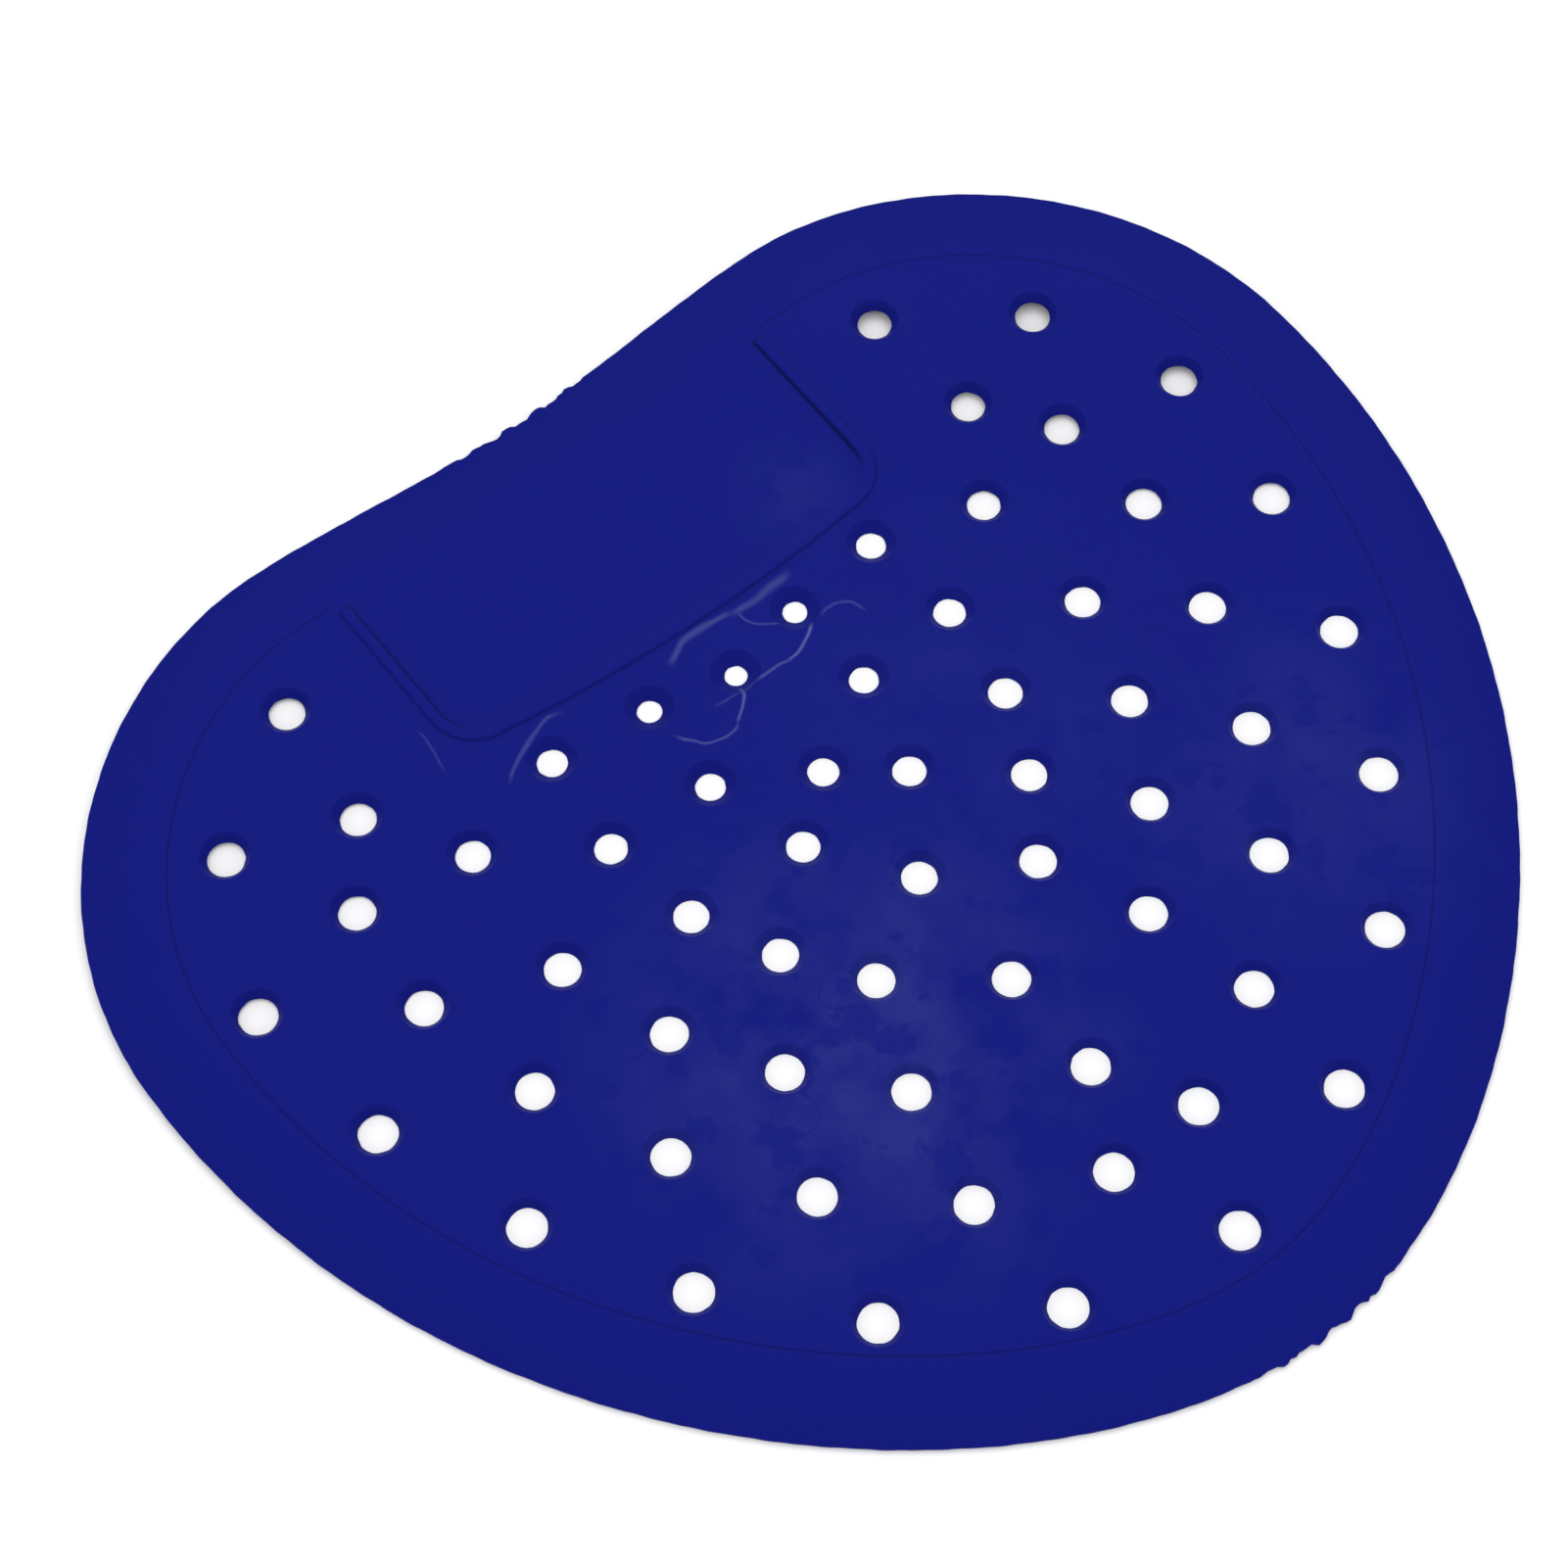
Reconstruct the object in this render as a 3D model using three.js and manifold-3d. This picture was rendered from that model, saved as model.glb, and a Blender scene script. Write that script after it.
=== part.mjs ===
// Urinal deodorizer screen: one thin, flexible vinyl moulding that lies over the drain of a urinal.
// It is a rounded triangle with two lobes at the back and a shallow dip between them. A border slopes
// down to the edge, curved courses of flared drain holes fill the field, and a U-shaped rib frames a
// sunken block seat behind the dip. The two back lobes have sprung a little off the surface.
// Millimetres. X is the width, +Y runs from the round front to the lobes, +Z is up, and the origin is on
// the surface below the middle of the outline.

import * as THREE from 'three';
import { mergeVertices } from 'three/addons/utils/BufferGeometryUtils.js';
import Module from 'manifold-3d';

const wasm = await Module();
wasm.setup();

// Outline: four key places on each half, and how far the edge holds its heading on each side of them
const overallWidth = 202.2;
const overallDepth = 179.8;
const frontToWidest = 120.7;
const lobeSpacing = 89.2;
const dipDepth = 2.5;
const frontHold = 39.8;
const flankHold = 71.7;
const shoulderHold = 34.1;
const lobeOuterHold = 28;
const lobeInnerHold = 15.3;
const dipHold = 15.4;

// Section: the field is level, and outside the crease the border slopes down to the edge
const fieldThickness = 1.35;
const edgeThickness = 0.9;
const edgeRadius = 0.3;
const borderWidth = 11.8;

// The holes and the seat lie this far across from the outline's middle, as the edge was trimmed
const patternShift = -0.9;

// Block seat: a U-shaped rib open to the back, with a floor that dips towards its foot
const ribSpan = 77;
const ribWidth = 1.8;
const ribRise = 0.45;
const ribCornerRadius = 7.5;
const ribFootBow = 1.9;
const seatLength = 30.2;
const seatDip = 0.35;
// The U stands a little askew: its left corner lies this much further back than its right one
const ribFootSkew = 1.6;

// Drain holes: flared from the bore at the underside to the rim on top, smaller close to the seat
const rimDiameter = 7.1;
const rimRounding = 0.3;
const fullBore = 5.5;
const leastBore = 2;
const boreRun = 26;

// Lobes: bent up past a slanting fold on each side
const foldDistance = 46;
const foldHeading = THREE.MathUtils.degToRad(49);
const foldSoftness = 10;
const rightLobeSlope = 0.045;
const leftLobeSlope = 0.015;

// How finely the round forms are stepped
const halfOutlineSteps = 48;
const fieldRings = 8;
const holeSides = 14;
const cornerSteps = 6;
const seatSteps = 10;

const frontY = -overallDepth / 2;
const backY = overallDepth / 2;
const creaseBackY = backY - dipDepth - borderWidth;
const seatFootY = creaseBackY - seatLength;
const clearCut = 1;

// The courses of holes, from the border inwards. Each is an egg-shaped arch about the pattern's middle:
// halfWidth across at widestY, its front at frontY, its back closing in over backReach. point draws the
// front into a blunt point. gaps are walked along the arch from its front to each hole in turn.
const courses = [
  { halfWidth: 82.5, widestY: 32.5, frontY: -72.4, backReach: 48, point: 1.08,
    gaps: [25, 24.5, 24, 23.5, 24, 24, 25, 24] },
  { halfWidth: 65, widestY: 28, frontY: -57.3, backReach: 40, point: 1.13,
    gaps: [7.5, 19, 20.5, 20, 20.5, 19.5, 17.5, 14.5] },
  { halfWidth: 46.5, widestY: 13, frontY: -43.1, backReach: 152, point: 1.34,
    gaps: [24.5, 17, 16.5, 17.5, 21.5] },
  { halfWidth: 30.5, widestY: 17, frontY: -26.8, backReach: 76, point: 1.41,
    gaps: [18.5, 13.5, 13.5, 15.5, 16] },
  { halfWidth: 14, widestY: 24.5, frontY: -7.3, backReach: 40, point: 1.36,
    gaps: [17, 16, 15] },
];
// The second course has no hole on the middle line, and two more holes lie on it behind the courses
const centreHoles = [-72.5, -43.1, -26.8, -7.3, 13.8, 33.7];

// How far a point of the screen stands off the surface
function liftAt(x, y) {
  const bend = (side, slope) => {
    const past = side * x * Math.cos(foldHeading) + y * Math.sin(foldHeading) - foldDistance;
    return past > 0 ? slope * past * past / (past + foldSoftness) : 0;
  };
  return bend(1, rightLobeSlope) + bend(-1, leftLobeSlope);
}

// Every vertex moves up by the lift below it
function bendToLift(geometry) {
  const place = geometry.attributes.position;
  for (let i = 0; i < place.count; i += 1) {
    place.setZ(i, place.getZ(i) + liftAt(place.getX(i), place.getY(i)));
  }
  return geometry;
}

function toSolid(geometry) {
  const bare = geometry.clone();
  bare.deleteAttribute('normal');
  bare.deleteAttribute('uv');
  const merged = mergeVertices(bare, 1e-4);
  return new wasm.Manifold(new wasm.Mesh({
    numProp: 3,
    vertProperties: new Float32Array(merged.attributes.position.array),
    triVerts: new Uint32Array(merged.index.array),
  }));
}

function toGeometry(solid) {
  const mesh = solid.getMesh();
  const geometry = new THREE.BufferGeometry();
  geometry.setAttribute('position', new THREE.BufferAttribute(mesh.vertProperties, 3));
  geometry.setIndex(new THREE.BufferAttribute(mesh.triVerts, 1));
  geometry.computeVertexNormals();
  return geometry;
}

// The right half of the outline, from the front's middle round to the middle of the dip
function halfOutline() {
  const front = new THREE.Vector2(0, frontY);
  const widest = new THREE.Vector2(overallWidth / 2, frontY + frontToWidest);
  const lobe = new THREE.Vector2(lobeSpacing / 2, backY);
  const dip = new THREE.Vector2(0, backY - dipDepth);
  const along = (point, x, y) => new THREE.Vector2(point.x + x, point.y + y);
  const path = new THREE.CurvePath();
  path.add(new THREE.CubicBezierCurve(front, along(front, frontHold, 0), along(widest, 0, -flankHold), widest));
  path.add(new THREE.CubicBezierCurve(widest, along(widest, 0, shoulderHold), along(lobe, lobeOuterHold, 0), lobe));
  path.add(new THREE.CubicBezierCurve(lobe, along(lobe, -lobeInnerHold, 0), along(dip, dipHold, 0), dip));
  return path;
}

// The whole outline as places with outward headings, counter-clockwise from the front's middle
function outlineStations() {
  const path = halfOutline();
  const right = [];
  for (let i = 0; i <= halfOutlineSteps; i += 1) {
    const place = path.getPointAt(i / halfOutlineSteps);
    const heading = path.getTangentAt(i / halfOutlineSteps);
    right.push({ x: place.x, y: place.y, outX: heading.y, outY: -heading.x });
  }
  right[0].outX = 0;
  right[halfOutlineSteps].outX = 0;
  const left = right.slice(1, -1).reverse().map((s) => ({ x: -s.x, y: s.y, outX: -s.outX, outY: s.outY }));
  return [...right, ...left];
}

// The screen before it is cut: rings of points from the middle of the underside, out round the edge and
// back over the border to the middle of the top
function plate() {
  const stations = outlineStations();
  const inset = (distance, z) => stations.map((s) => [s.x - s.outX * distance, s.y - s.outY * distance, z]);
  const crease = inset(borderWidth, 0);
  const shrunk = (share, z) => crease.map(([x, y]) => [x * share, y * share, z]);
  const shares = Array.from({ length: fieldRings }, (_, i) => (i + 1) / fieldRings);
  const rings = [
    ...shares.map((share) => shrunk(share, 0)),
    inset(edgeRadius, 0),
    inset(0, edgeRadius),
    inset(0, edgeThickness - edgeRadius),
    inset(edgeRadius, edgeThickness),
    ...shares.reverse().map((share) => shrunk(share, fieldThickness)),
  ];
  const count = stations.length;
  const points = [[0, 0, 0], ...rings.flat(), [0, 0, fieldThickness]];
  const top = points.length - 1;
  const at = (ring, i) => 1 + ring * count + (i % count);
  const faces = [];
  for (let i = 0; i < count; i += 1) {
    faces.push(0, at(0, i + 1), at(0, i));
    for (let ring = 0; ring < rings.length - 1; ring += 1) {
      faces.push(at(ring, i), at(ring, i + 1), at(ring + 1, i + 1));
      faces.push(at(ring, i), at(ring + 1, i + 1), at(ring + 1, i));
    }
    faces.push(top, at(rings.length - 1, i), at(rings.length - 1, i + 1));
  }
  const geometry = new THREE.BufferGeometry();
  geometry.setAttribute('position', new THREE.Float32BufferAttribute(points.flat(), 3));
  geometry.setIndex(faces);
  return toSolid(bendToLift(geometry));
}

// One line of the U in plan, inset from the rib's outer side, from its left tip round to its right tip
function ribLine(insetBy, tipY) {
  const half = ribSpan / 2 - insetBy;
  const radius = ribCornerRadius - insetBy;
  const leftY = seatFootY + ribFootSkew / 2 + insetBy;
  const rightY = seatFootY - ribFootSkew / 2 + insetBy;
  const line = new THREE.Path();
  line.moveTo(-half, tipY);
  line.lineTo(-half, leftY + radius);
  line.absarc(-half + radius, leftY + radius, radius, Math.PI, Math.PI * 1.5, false);
  line.quadraticCurveTo(0, seatFootY + insetBy - ribFootBow * 2, half - radius, rightY);
  line.absarc(half - radius, rightY + radius, radius, Math.PI * 1.5, Math.PI * 2, false);
  line.lineTo(half, tipY);
  return line.getPoints(cornerSteps).map((p) => new THREE.Vector2(p.x + patternShift, p.y));
}

// A slab over the seat, between two heights above the lifted underside
function bentSlab(low, high) {
  const lengthY = backY - seatFootY + ribFootBow + ribFootSkew;
  const slab = new THREE.BoxGeometry(ribSpan + clearCut, lengthY, high - low, seatSteps, seatSteps, 1);
  slab.translate(patternShift, backY - lengthY / 2, (low + high) / 2);
  return toSolid(bendToLift(slab));
}

function tallPrism(points) {
  const height = fieldThickness * 2 + liftAt(overallWidth / 2, backY) * 2;
  const prism = new THREE.ExtrudeGeometry(new THREE.Shape(points), { depth: height, bevelEnabled: false });
  return toSolid(prism.translate(0, 0, -clearCut));
}

// The seat's floor: level with the crease at the back and sunk by seatDip at its foot
function seatCut() {
  const inner = ribLine(ribWidth / 2, backY);
  const tilt = Math.atan2(seatDip, seatLength);
  const lengthY = backY - seatFootY + ribFootBow + ribFootSkew;
  const block = new THREE.BoxGeometry(ribSpan, lengthY, fieldThickness, seatSteps, seatSteps, 1);
  block.translate(patternShift, backY - lengthY / 2, fieldThickness * 1.5);
  const place = block.attributes.position;
  for (let i = 0; i < place.count; i += 1) {
    place.setZ(i, place.getZ(i) - (creaseBackY - place.getY(i)) * Math.tan(tilt));
  }
  return toSolid(bendToLift(block)).intersect(tallPrism(inner));
}

// The rib stands on the field, rooted inside the plate, and its tips end at the crease
function rib() {
  const outer = ribLine(0, creaseBackY);
  const inner = ribLine(ribWidth, creaseBackY);
  const slab = bentSlab(edgeThickness / 2, fieldThickness + ribRise);
  return slab.intersect(tallPrism([...outer, ...inner.reverse()]));
}

// Places along one course, as [x, y] on the right of the pattern's middle
function courseHoles(course) {
  const fine = 2000;
  const arch = [];
  for (let i = 0; i <= fine; i += 1) {
    const turn = -Math.PI / 2 + (i / fine) * Math.PI;
    const across = Math.cos(turn);
    const along = Math.sin(turn);
    const reach = course.widestY - course.frontY;
    const y = along < 0 ? -reach * Math.abs(along) ** course.point : course.backReach * along;
    arch.push(new THREE.Vector2(course.halfWidth * Math.max(across, 0) ** course.point, course.widestY + y));
  }
  const places = [];
  let walked = 0;
  let next = course.gaps[0];
  for (let i = 1; i <= fine && places.length < course.gaps.length; i += 1) {
    const step = arch[i].distanceTo(arch[i - 1]);
    if (walked + step >= next) {
      const place = arch[i - 1].clone().lerp(arch[i], (next - walked) / step);
      places.push([place.x, place.y]);
      next += course.gaps[places.length];
    }
    walked += step;
  }
  return places;
}

// A flared cutter, upright on the local slope of the screen
function holeCutter(x, y) {
  const fromSeat = Math.hypot(x - patternShift, y - seatFootY);
  const bore = fullBore - (fullBore - leastBore) * Math.exp(-fromSeat / boreRun);
  const rim = rimDiameter / 2;
  const profile = [
    [0, -clearCut],
    [bore / 2, -clearCut],
    [bore / 2, 0],
    [rim - rimRounding, fieldThickness - rimRounding],
    [rim, fieldThickness],
    [rim, fieldThickness + clearCut],
    [0, fieldThickness + clearCut],
  ];
  const cutter = new THREE.LatheGeometry(profile.map(([r, z]) => new THREE.Vector2(r, z)), holeSides);
  cutter.rotateX(Math.PI / 2);
  const run = 0.5;
  const lift = liftAt(x, y);
  const slopeX = (liftAt(x + run, y) - lift) / run;
  const slopeY = (liftAt(x, y + run) - lift) / run;
  const up = new THREE.Vector3(-slopeX, -slopeY, 1).normalize();
  cutter.applyQuaternion(new THREE.Quaternion().setFromUnitVectors(new THREE.Vector3(0, 0, 1), up));
  cutter.translate(x, y, lift);
  return toSolid(cutter);
}

function screenSolid() {
  const pairs = courses.flatMap(courseHoles);
  const places = [
    ...centreHoles.map((y) => [0, y]),
    ...pairs,
    ...pairs.map(([x, y]) => [-x, y]),
  ].map(([x, y]) => [x + patternShift, y]);
  let solid = plate().subtract(seatCut()).add(rib());
  for (const [x, y] of places) {
    solid = solid.subtract(holeCutter(x, y));
  }
  return solid;
}

const vinyl = new THREE.MeshStandardMaterial({ color: '#1b217d', roughness: 0.5, metalness: 0 });
const screen = new THREE.Mesh(toGeometry(screenSolid()), vinyl);
screen.name = 'screen';

const group = new THREE.Group();
group.add(screen);

export default group;
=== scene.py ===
# Urinal deodorizer screen: one thin moulding of flexible vinyl, looked at from above its round front.
# Plan lengths are in millimetres, and turned to metres where a mesh is made. +Y runs from the round front
# to the two back lobes, +Z is up, and the surface that the screen lies on is at zero.
import math
import bmesh
import bpy
import numpy as np
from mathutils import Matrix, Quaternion, Vector
from mathutils.geometry import delaunay_2d_cdt


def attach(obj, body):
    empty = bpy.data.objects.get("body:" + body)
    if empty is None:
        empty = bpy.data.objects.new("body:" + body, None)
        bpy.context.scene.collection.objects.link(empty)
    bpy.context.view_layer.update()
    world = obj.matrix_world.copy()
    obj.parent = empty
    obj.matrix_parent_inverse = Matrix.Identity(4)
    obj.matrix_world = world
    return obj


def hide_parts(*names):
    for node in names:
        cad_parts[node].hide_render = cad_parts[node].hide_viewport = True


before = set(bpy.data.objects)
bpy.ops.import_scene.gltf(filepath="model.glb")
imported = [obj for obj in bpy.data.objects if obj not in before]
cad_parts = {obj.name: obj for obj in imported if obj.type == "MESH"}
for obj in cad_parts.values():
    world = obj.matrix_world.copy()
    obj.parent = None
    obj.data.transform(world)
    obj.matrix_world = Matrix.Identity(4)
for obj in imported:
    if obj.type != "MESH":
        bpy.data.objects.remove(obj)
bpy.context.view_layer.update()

mm = 0.001

# Outline: four key places on each half, and how far the edge holds its heading beside them
outline = {
    "width": 202.2, "depth": 179.8, "frontToWidest": 120.7, "lobeSpacing": 89.2, "dipDepth": 2.5,
    "frontHold": 39.8, "flankHold": 71.7, "shoulderHold": 34.1, "lobeOuterHold": 28.0,
    "lobeInnerHold": 15.3, "dipHold": 15.4,
    "stations": 900,
}
section = {
    "field": 1.35, "edge": 0.9, "edgeRadius": 0.3, "border": 11.8,
    "creaseGroove": 0.02,      # the fine line where the border starts to fall
    "blendWidth": 3.0,         # between the rib's tips the fall starts softly instead
    "edgeTurns": (0, 30, 60, 90),
    "underRings": (2.2, 1.0), "borderRings": (0.8, 2.0, 4.5, 7.0, 9.5, 11.0, 11.5), "fieldRing": 12.05,
}
# The points that fill the field and the underside, and how clear they stay of lines and holes, in gaps.
# They are tested against the lines one block of points at a time.
filling = {
    "topGap": 1.6, "underGap": 3.0, "halfWidth": 110, "halfDepth": 100,
    "clearOfLines": 0.45, "clearOfHoles": 0.3, "block": 400,
}
# The holes and the seat sit this far across from the outline's middle, as the edge was trimmed
patternShift = -0.9
seat = {
    "span": 77.0, "ribWidth": 1.8, "ribRise": 0.32, "cornerRadius": 7.5, "footBow": 1.9,
    "footSkew": 1.6, "length": 30.2, "dip": 0.35, "footSlope": 0.8, "tipReach": 1.0,
    "cornerSteps": 10, "footSteps": 90, "legSteps": 34,
}
# Loops round the rib, from its base to its top: how far each lies in from the rib's sides, its share of the
# rise and of the slope on the seat side of the U's foot, and how dark the painted shade in the crevice is
# there
ribSteps = [
    {"inset": -0.35, "rise": 0, "slope": 1.25, "paintedShade": 0},
    {"inset": 0.0, "rise": 0, "slope": 1.0, "paintedShade": 1.0},
    {"inset": 0.14, "rise": 0.8, "slope": 0.3, "paintedShade": 0.4},
    {"inset": 0.34, "rise": 1.0, "slope": 0.0, "paintedShade": 0.0},
]
# How dark the painted shade in the crevices is, darkest on the seat side of the rib's right leg and washed
# out along that side of its foot, and faint at the crease where the border starts to fall
shade = {
    "seatRight": 1.0, "seatLeft": 0.7, "outerRight": 0.3, "outer": 0.4, "legFrom": 6.0,
    "fadeFrom": 4.0, "fade": 4.0, "crease": 0.5,
}
drain = {
    "rim": 7.1, "lip": 8.1, "lipRise": 0.02, "fullBore": 5.5, "leastBore": 2.0, "boreRun": 26.0,
    "underRing": 1.2, "sides": 40, "joinWithin": 0.015,
    "ragged": 0.16, "skinRound": 0.9, "skinApart": 400.0, "skinScale": 2.2, "seed": 7.0,
}
# The courses of holes from the border inwards, with the gaps along each from the centre line outwards
courses = [
    {"halfWidth": 82.5, "widestY": 32.5, "frontY": -72.4, "backReach": 48.0, "point": 1.08,
     "gaps": [25.0, 24.5, 24.0, 23.5, 24.0, 24.0, 25.0, 24.0]},
    {"halfWidth": 65.0, "widestY": 28.0, "frontY": -57.3, "backReach": 40.0, "point": 1.13,
     "gaps": [7.5, 19.0, 20.5, 20.0, 20.5, 19.5, 17.5, 14.5]},
    {"halfWidth": 46.5, "widestY": 13.0, "frontY": -43.1, "backReach": 152.0, "point": 1.34,
     "gaps": [24.5, 17.0, 16.5, 17.5, 21.5]},
    {"halfWidth": 30.5, "widestY": 17.0, "frontY": -26.8, "backReach": 76.0, "point": 1.41,
     "gaps": [18.5, 13.5, 13.5, 15.5, 16.0]},
    {"halfWidth": 14.0, "widestY": 24.5, "frontY": -7.3, "backReach": 40.0, "point": 1.36,
     "gaps": [17.0, 16.0, 15.0]},
]
centreHoles = [-72.5, -43.1, -26.8, -7.3, 13.8, 33.7]
courseSteps = 4000
lobes = {"foldDistance": 46.0, "foldHeading": 49.0, "softness": 10.0, "right": 0.045, "left": 0.015}

frontY = -outline["depth"] / 2
backY = outline["depth"] / 2
creaseBackY = backY - outline["dipDepth"] - section["border"]
seatFootY = creaseBackY - seat["length"]


# Plan lines

def bezier(start, startHold, endHold, end, steps=300):
    t = np.linspace(0, 1, steps, endpoint=False)[:, None]
    points = [np.array(p, float) for p in (start, startHold, endHold, end)]
    weights = [(1 - t) ** 3, 3 * (1 - t) ** 2 * t, 3 * (1 - t) * t ** 2, t ** 3]
    return sum(w * p for w, p in zip(weights, points))


def evenly(points, count, closed=False):
    # the same line with its points evenly spaced
    line = np.vstack([points, points[:1]]) if closed else np.asarray(points, float)
    run = np.concatenate([[0], np.cumsum(np.linalg.norm(np.diff(line, axis=0), axis=1))])
    at = np.linspace(0, run[-1], count, endpoint=not closed)
    return np.stack([np.interp(at, run, line[:, 0]), np.interp(at, run, line[:, 1])], 1)


def outwards(loop):
    # outward headings of a counter-clockwise loop
    ahead = np.roll(loop, -1, 0) - np.roll(loop, 1, 0)
    ahead /= np.linalg.norm(ahead, axis=1)[:, None]
    return np.stack([ahead[:, 1], -ahead[:, 0]], 1)


def outlineLoop():
    wideX, wideY = outline["width"] / 2, frontY + outline["frontToWidest"]
    lobeX, dipY = outline["lobeSpacing"] / 2, backY - outline["dipDepth"]
    front, wide, lobe, dip = (0, frontY), (wideX, wideY), (lobeX, backY), (0, dipY)
    lobeOuter = (lobeX + outline["lobeOuterHold"], backY)
    lobeInner = (lobeX - outline["lobeInnerHold"], backY)
    right = np.vstack([
        bezier(front, (outline["frontHold"], frontY), (wideX, wideY - outline["flankHold"]), wide),
        bezier(wide, (wideX, wideY + outline["shoulderHold"]), lobeOuter, lobe),
        bezier(lobe, lobeInner, (outline["dipHold"], dipY), dip),
        [dip],
    ])
    left = right[1:-1][::-1] * [-1, 1]
    return evenly(np.vstack([right, left]), outline["stations"], closed=True)


def ribLine(insetBy, tipY, slope=0.0):
    # one line of the U, inset from the rib's outer side, from its left tip round to its right tip
    half, radius = seat["span"] / 2 - insetBy, seat["cornerRadius"] - insetBy
    footY = seatFootY + insetBy + slope
    leftY, rightY = footY + seat["footSkew"] / 2, footY - seat["footSkew"] / 2
    turn = np.radians(np.linspace(0, 90, seat["cornerSteps"]))[:, None]
    leftArc = np.hstack([-half + radius - radius * np.cos(turn), leftY + radius - radius * np.sin(turn)])
    rightArc = np.hstack([half - radius + radius * np.sin(turn), rightY + radius - radius * np.cos(turn)])
    t = np.linspace(0, 1, seat["footSteps"])[1:-1, None]
    low = footY - seat["footBow"] * 2
    foot = (1 - t) ** 2 * leftArc[-1] + 2 * t * (1 - t) * np.array([0, low]) + t ** 2 * rightArc[0]
    leg = np.linspace(0, 1, seat["legSteps"])[:-1, None]
    leftLeg = np.array([-half, tipY]) * (1 - leg) + leftArc[0] * leg
    rightLeg = (np.array([half, tipY]) * (1 - leg) + rightArc[-1] * leg)[::-1]
    return np.vstack([leftLeg, leftArc, foot, rightArc, rightLeg]) + [patternShift, 0]


def holePlaces():
    # [x, y] of every drain hole
    places = [(0.0, y) for y in centreHoles]
    for course in courses:
        turn = np.linspace(-math.pi / 2, math.pi / 2, courseSteps)
        up = np.sin(turn)
        x = course["halfWidth"] * np.maximum(np.cos(turn), 0) ** course["point"]
        reach = course["widestY"] - course["frontY"]
        front = -reach * np.abs(up) ** course["point"]
        y = course["widestY"] + np.where(up < 0, front, course["backReach"] * up)
        run = np.concatenate([[0], np.cumsum(np.hypot(np.diff(x), np.diff(y)))])
        for at in np.cumsum(course["gaps"]):
            holeX, holeY = np.interp(at, run, x), np.interp(at, run, y)
            places += [(holeX, holeY), (-holeX, holeY)]
    return np.array(places) + [patternShift, 0]


def boreAt(place):
    fromSeat = math.hypot(place[0] - patternShift, place[1] - seatFootY)
    narrowing = math.exp(-fromSeat / drain["boreRun"])
    return drain["fullBore"] - (drain["fullBore"] - drain["leastBore"]) * narrowing


def liftAt(x, y):
    # how far the sprung lobes stand off the surface
    heading = math.radians(lobes["foldHeading"])
    lift = 0
    for side, slope in ((1, lobes["right"]), (-1, lobes["left"])):
        past = np.maximum(side * x * math.cos(heading) + y * math.sin(heading) - lobes["foldDistance"], 0)
        lift = lift + slope * past * past / (past + lobes["softness"])
    return lift


def inside(points, loop):
    # which points lie inside a closed loop
    x, y = points[:, :1], points[:, 1:]
    ax, ay = loop[:, 0], loop[:, 1]
    bx, by = np.roll(ax, -1), np.roll(ay, -1)
    crosses = ((ay > y) != (by > y)) & (x < (bx - ax) * (y - ay) / (by - ay + 1e-12) + ax)
    return crosses.sum(1) % 2 == 1


def seatFloor(y):
    return section["field"] - np.maximum(creaseBackY - y, 0) * seat["dip"] / seat["length"]


# The sheet

class Sheet:
    # points with their heights and marks, and faces between them
    def __init__(self):
        self.points, self.marks, self.faces = [], [], []
        self.count = 0

    def add(self, plan, height, paintedShade=0.0, border=0.0):
        n = len(plan)
        self.points.append(np.column_stack([plan, np.broadcast_to(height, n)]))
        self.marks.append(np.column_stack([np.broadcast_to(paintedShade, n), np.broadcast_to(border, n)]))
        first = self.count
        self.count += n
        return np.arange(first, first + n)

    def band(self, lower, upper):
        # quads between two closed rings
        self.faces += [list(f) for f in zip(lower, np.roll(lower, -1), np.roll(upper, -1), upper)]


def hexGrid(gap):
    acrosses = np.arange(-filling["halfWidth"], filling["halfWidth"], gap)
    rows = np.arange(-filling["halfDepth"], filling["halfDepth"], gap * math.sqrt(3) / 2)
    shifts = [gap / 2 if number % 2 else 0 for number in range(len(rows))]
    return np.vstack([np.column_stack([acrosses + shift, np.full(len(acrosses), row)])
                      for row, shift in zip(rows, shifts)])


def fill(sheet, outer, loops, holeRadii, holes, gap, heightOf):
    # triangles between an outer ring, closed loops and round openings, over a grid of points
    rings = [outer] + loops
    allPoints = np.vstack(sheet.points)
    placed = np.concatenate(rings)
    plan = allPoints[placed][:, :2]
    grid = hexGrid(gap)
    outerPlan = allPoints[outer][:, :2]
    grid = grid[inside(grid, outerPlan)]
    far = np.ones(len(grid), bool)
    for start in range(0, len(plan), filling["block"]):
        block = plan[start:start + filling["block"]]
        away = np.hypot(grid[:, None, 0] - block[None, :, 0], grid[:, None, 1] - block[None, :, 1])
        far &= away.min(1) > gap * filling["clearOfLines"]
    for place, radius in zip(holes, holeRadii):
        far &= np.hypot(*(grid - place).T) > radius + gap * filling["clearOfHoles"]
    grid = grid[far]
    added = sheet.add(grid, heightOf(grid))
    index = np.concatenate([placed, added])
    coords = [Vector(p) for p in np.vstack([plan, grid])]
    edges, at = [], 0
    for ring in rings:
        n = len(ring)
        edges += [(at + i, at + (i + 1) % n) for i in range(n)]
        at += n
    _, _, faces, source, _, _ = delaunay_2d_cdt(coords, edges, [], 0, 1e-6, True)
    assert all(len(s) for s in source), "two plan lines cross"
    source = np.array([s[0] for s in source])
    faces = source[np.array(faces)]
    plain = np.vstack([plan, grid])
    middles = plain[faces].mean(1)
    keep = np.ones(len(faces), bool)
    for place, radius in zip(holes, holeRadii):
        keep &= np.hypot(*(middles - place).T) > radius * math.cos(math.pi / drain["sides"])
    rim = (faces < len(outer)).all(1)
    keep[rim] &= inside(middles[rim], outerPlan)
    return index[faces[keep]]


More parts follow.
